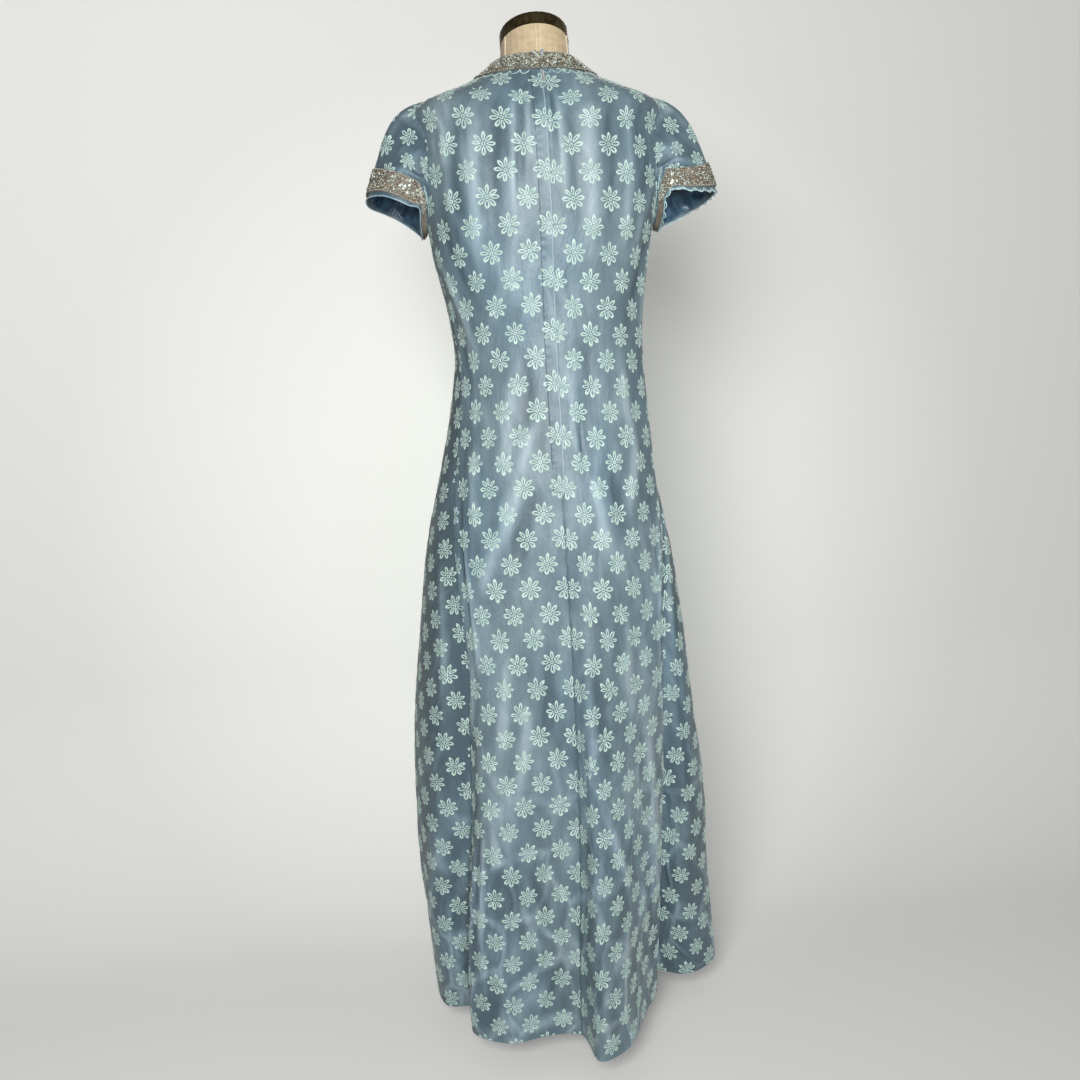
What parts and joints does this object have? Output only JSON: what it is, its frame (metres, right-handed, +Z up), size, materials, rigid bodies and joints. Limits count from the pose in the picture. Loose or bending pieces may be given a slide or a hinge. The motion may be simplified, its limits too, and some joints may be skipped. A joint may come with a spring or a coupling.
{
  "type": "maxi dress on dress form",
  "caption": "Full-length A-line evening dress with cap sleeves, beaded neck and cuff bands and a lapped back zip, on a limbless dress form with a round base.",
  "frame": {"origin": "middle of the stand base's underside, on the floor", "axes": "+Z up; -Y out of the back of the dress, where the zip is; +X towards the wearer's right"},
  "size_m": [0.494, 0.471, 1.5048],
  "materials": {
    "floral_cloth": "blue-grey satin under a sheer layer woven with pale mint daisies",
    "blue_lining": "smooth deep blue lining",
    "beaded_braid": "braid covered in silver and bronze beads",
    "zip_tape": "woven tape",
    "zip_metal": "bright",
    "linen_cover": "cream linen",
    "aged_brass": "dark brushed bronze",
    "steel_pole": "satin",
    "black_iron": "black"
  },
  "bodies": {
    "root": {"front": "floral_cloth", "back_right": "floral_cloth", "back_left": "floral_cloth", "zip_lap": "floral_cloth", "zip_tape": "zip_tape", "zip_slider": "zip_metal", "neck_band": "beaded_braid", "sleeve_right": "floral_cloth", "sleeve_left": "floral_cloth", "sleeve_lining_right": "blue_lining", "sleeve_lining_left": "blue_lining", "cuff_band_right": "beaded_braid", "cuff_band_left": "beaded_braid", "form_torso": "linen_cover", "neck_cap": "aged_brass", "stand_pole": "steel_pole", "stand_base": "black_iron"}
  },
  "joints": []
}
